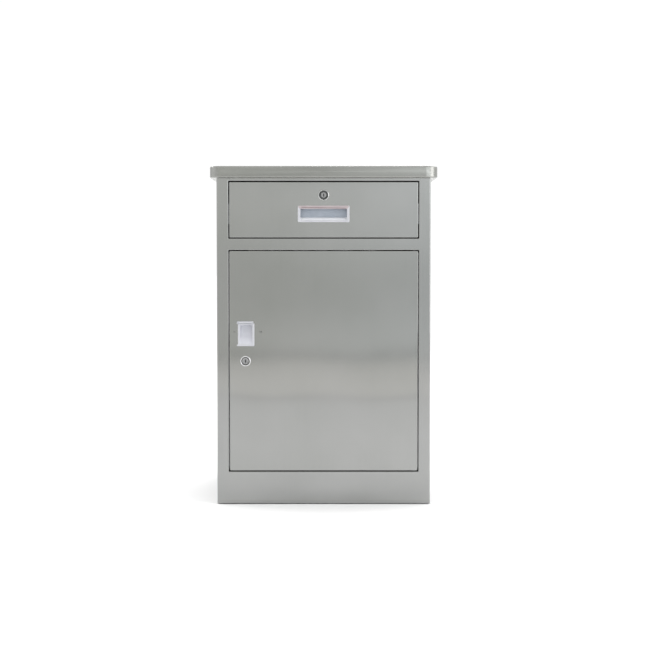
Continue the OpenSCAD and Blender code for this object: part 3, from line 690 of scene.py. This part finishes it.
def make_lock(node, body, name, shade, groove, notched):
    """A cam lock's housing, turned: bright rim, groove, inner ring round the plug, and a notch below if
    notched. The shade paints between the two radii of groove, in mm, and the notch."""
    low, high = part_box(node)
    centre = (low + high) / 2
    face = low.y
    rim = (high.x - low.x) / 2 / MM
    bore, barrel, notch_r = 6.06, 9.0, 11.3
    profile = [(bore, 1.4), (6.3, 1.0), (6.9, 0.9), (7.4, 1.3), (7.6, 2.0), (8.8, 2.0), (9.1, 1.3),
               (9.4, 0.6), (9.9, 0.15), (10.6, 0.0), (11.2, 0.15), (rim - 0.25, 0.7), (rim, 1.4),
               (rim, 2.5), (barrel, 2.5), (barrel, 27.2), (8.7, 27.5), (bore, 27.5)]
    bm = bmesh.new()
    revolve(bm, [(r * MM, face + y * MM) for r, y in profile], centre)
    piece = finish_mesh(bm, name, CHROME, body, angle=40)
    if notched:
        cut(piece, [box_cutter((centre.x - 1.0 * MM, centre.z - 11.2 * MM),
                               (centre.x + 1.0 * MM, centre.z - 8 * MM), 0.4 * MM,
                               face - 1 * MM, face + 1.5 * MM)])
    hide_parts(node)

    def shadowed(polygon):
        x, z = polygon.center.x - centre.x, polygon.center.z - centre.z
        reach = math.hypot(x, z) / MM
        in_groove = groove[0] < reach < groove[1]
        in_notch = notched and abs(x) < 1.1 * MM and z < 0 and reach < notch_r
        return (in_groove or in_notch) and face + 0.02 * MM < polygon.center.y < face + 2.4 * MM

    paint(piece, shade, shadowed)


# ---------------------------------------------------------------- build

def paint_cad_nodes():
    """Each CAD node takes the material of its slot, apart from the few that special names."""
    slots = {row["node"]: row["material_slot"] for row in frame["record"]["subparts"]}
    plug = lock_plug_material()
    special = {"drawer_lock_plug": plug, "door_lock_plug": plug, "hinge_pin_upper": OXIDE,
               "hinge_pin_lower": OXIDE, "door_bushes": NYLON_DARK, "back_panel": STEEL_SIDE}
    for name, node in frame["nodes"].items():
        node.data.materials.clear()
        node.data.materials.append(special.get(name, SLOT_MATERIALS[slots[name]]))


paint_cad_nodes()
make_slab()
make_front_frame()
make_side_wall("side_panel_right", "side_wall_right", 1)
make_side_wall("side_panel_left", "side_wall_left", -1)
make_drawer_front()
make_door_skin()
make_drawer_pull()
make_door_handle()
make_lock("drawer_lock_housing", "drawer", "drawer_lock_body", DARK, (6.5, 10.6), True)
make_lock("door_lock_housing", "door", "door_lock_body", SHADE, (7.3, 9.3), False)


# ---------------------------------------------------------------- stage, light, camera

FRONT_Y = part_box("door_skin")[0].y

# Half the floor's width.
FLOOR_HALF = 40.0

# The mirrored floor: its reach, its gap to the door, and the tints of its zones, each at a share of the
# way from its far edge to the cabinet's middle.
MIRRORED_REACH = 6.0
MIRRORED_GAP = 0.08
FLOOR_ZONES = ((0.52, (1.04, 1.02, 1.0)), (0.545, (0.72, 0.72, 0.72)),
               (0.57, (0.965, 0.96, 0.965)), (1.0, (1.0, 1.0, 1.0)))

# The wall: distance in front of the door, half width, height.
WALL_AWAY = 4.6
WALL_HALF = 5.0
WALL_H = 3.4

# Camera: distance from the door, sideways shift, height, downward tilt in degrees, focal length in mm.
CAMERA_AWAY = 3.2
CAMERA_X = 3 * MM
CAMERA_Z = 0.556
CAMERA_TILT = 2.70
CAMERA_LENS = 79.0

# Panels of light: name, place, point aimed at, size, power in watts.
PANELS = (
    ("key", (-0.6, -2.2, 2.8), (0, 0, 0.4), (2.2, 1.4), 5),
    ("right", (2.6, -1.2, 1.3), (0, 0, 0.6), (1.6, 2.2), 20),
    ("left_pool", (-2.6, 0.9, 2.4), (-2.2, 0.6, 0), (1.0, 1.0), 20),
    ("right_pool", (2.9, 1.3, 2.4), (2.5, 0.9, 0), (1.0, 1.0), 17),
    ("rear_pool", (0.5, 2.9, 2.2), (0.3, 2.5, 0), (1.2, 0.8), 22),
    ("rear_strip", (-0.7, 3.6, 2.9), (0, 0, 0.76), (2.4, 0.7), 10),
)


def rectangle(low, high):
    (x0, y0), (x1, y1) = low, high
    return [(x0, y0), (x1, y0), (x1, y1), (x0, y1)]


def flat_mesh(name, corners):
    mesh = bpy.data.meshes.new(name)
    mesh.from_pydata(corners, [], [(0, 1, 2, 3)])
    piece = link_object(name, mesh)
    return piece


def pale_floor(name):
    """The floor's material, and its colour for the caller to link."""
    nodes = new_material(name)
    clouds = nodes.noise(1.5, detail=3.0)
    nodes.set(Roughness=0.75)
    return nodes, nodes.mix(nodes.remap(clouds, 0.0, 1.0), (0.895, 0.895, 0.895), (0.91, 0.91, 0.91))


def make_floor():
    floor = flat_mesh("floor", level(rectangle((-FLOOR_HALF, -FLOOR_HALF), (FLOOR_HALF, FLOOR_HALF)), 0))
    nodes, pale = pale_floor("pale_floor")
    nodes.colour(pale)
    floor.data.materials.append(nodes.owner)


def make_mirrored_floor():
    """A sheet on the floor in front of the cabinet, seen only in the steel: its zones and joint line."""
    far, near = -MIRRORED_REACH, FRONT_Y - MIRRORED_GAP
    sheet = flat_mesh("mirrored_floor", level(rectangle((far, far), (-far, near)), MM))
    for sight in ("camera", "diffuse", "shadow", "transmission"):
        setattr(sheet, "visible_" + sight, False)
    nodes, pale = pale_floor("mirrored_floor")
    _, depth, _ = nodes.axes()
    zones = nodes.add("ShaderNodeValToRGB")
    nodes.link(nodes.remap(depth, 0.0, 1.0, far, 0.0), zones.inputs["Fac"])
    stops = zones.color_ramp.elements
    while len(stops) < len(FLOOR_ZONES):
        stops.new(1.0)
    for stop, (share, tint) in zip(stops, FLOOR_ZONES):
        stop.position = share
        stop.color = (*tint, 1.0)
    nodes.colour(nodes.mix(1.0, pale, zones.outputs["Color"], blend="MULTIPLY"))
    sheet.data.materials.append(nodes.owner)


def wall_glow():
    """The wall's light: brighter upwards and to the right, with a bright band over a darker foot, a
    shaded patch in the middle from 1 m up, and a window at the right. Steps are low, high, start, end."""
    nodes = new_material("wall_glow")
    nodes.tree.nodes.remove(nodes.shader)
    x, _, z = nodes.axes()
    rise = nodes.product(nodes.step(z, 0.92, 1.085, 0.45, 0.78), nodes.step(z, 1.10, 1.0, 0.08, 0.34))
    foot = nodes.step(z, 0.80, 1.0, 0.03, 0.07)
    turn = nodes.step(x, 0.945, 1.105, -0.6, 0.7)
    middle = nodes.product(nodes.step(x, 0.0, 1.0, -0.50, -0.05), nodes.step(x, 1.0, 0.0, -0.05, 0.45))
    shade = nodes.product(middle, nodes.step(z, 0.0, -0.42, 0.98, 1.08))
    band = nodes.product(nodes.step(z, 0.0, 1.0, 0.80, 0.98), nodes.step(z, 1.0, 0.0, 1.50, 1.75))
    window = nodes.product(nodes.step(x, 0.0, 1.15, 0.78, 1.0), band)
    plain = nodes.math("ADD", nodes.product(rise, foot, turn), shade)
    glow = nodes.add("ShaderNodeEmission")
    nodes.link(nodes.math("ADD", plain, window), glow.inputs["Strength"])
    nodes.link(nodes.mix(nodes.step(x, 0.0, 1.0, -0.6, 0.9), (0.99, 1.0, 0.965), (0.97, 1.0, 1.01)),
           glow.inputs["Color"])
    nodes.link(glow.outputs["Emission"], nodes.tree.nodes["Material Output"].inputs["Surface"])
    return nodes.owner


def make_reflector():
    """A soft grey wall behind the camera: what the upright faces mirror above the floor."""
    outline = rectangle((-WALL_HALF, 0), (WALL_HALF, WALL_H))
    wall = flat_mesh("studio_wall", upright(outline, FRONT_Y - WALL_AWAY))
    wall.visible_camera = False
    wall.data.materials.append(wall_glow())


def make_world():
    """White all round, a little brighter to the right and at the far left."""
    world = bpy.data.worlds.new("studio")
    bpy.context.scene.world = world
    nodes = Nodes(world)
    background = nodes.tree.nodes["Background"]
    x, _, _ = nodes.axes("Generated")
    turn = nodes.product(nodes.step(x, 1.02, 1.12, -0.4, 0.7), nodes.step(x, 1.2, 1.0, -0.98, -0.86))
    nodes.link(turn, background.inputs["Strength"])
    background.inputs["Color"].default_value = (1.0, 1.0, 1.0, 1.0)


def make_sun():
    """Soft light from above, kept out of the reflections."""
    data = bpy.data.lights.new("sky_panel", "SUN")
    data.energy = 0.62
    data.angle = math.radians(40)
    lamp = link_object("sky_panel", data)
    lamp.location = (0, 0, 4)
    lamp.visible_glossy = False


def make_panel(name, place, aim, size, power):
    data = bpy.data.lights.new(name, "AREA")
    data.shape = "RECTANGLE"
    data.size, data.size_y = size
    data.energy = power
    lamp = link_object(name, data)
    lamp.location = place
    lamp.rotation_euler = (Vector(aim) - Vector(place)).to_track_quat("-Z", "Y").to_euler()


def make_camera():
    data = bpy.data.cameras.new("camera")
    data.sensor_width = 36.0
    data.lens = CAMERA_LENS
    camera = link_object("camera", data)
    camera.location = (CAMERA_X, FRONT_Y - CAMERA_AWAY, CAMERA_Z)
    camera.rotation_euler = (math.radians(90 - CAMERA_TILT), 0.0, 0.0)
    bpy.context.scene.camera = camera


make_floor()
make_mirrored_floor()
make_reflector()
make_world()
make_sun()
for panel in PANELS:
    make_panel(*panel)
make_camera()
bpy.context.scene.view_settings.view_transform = "Standard"
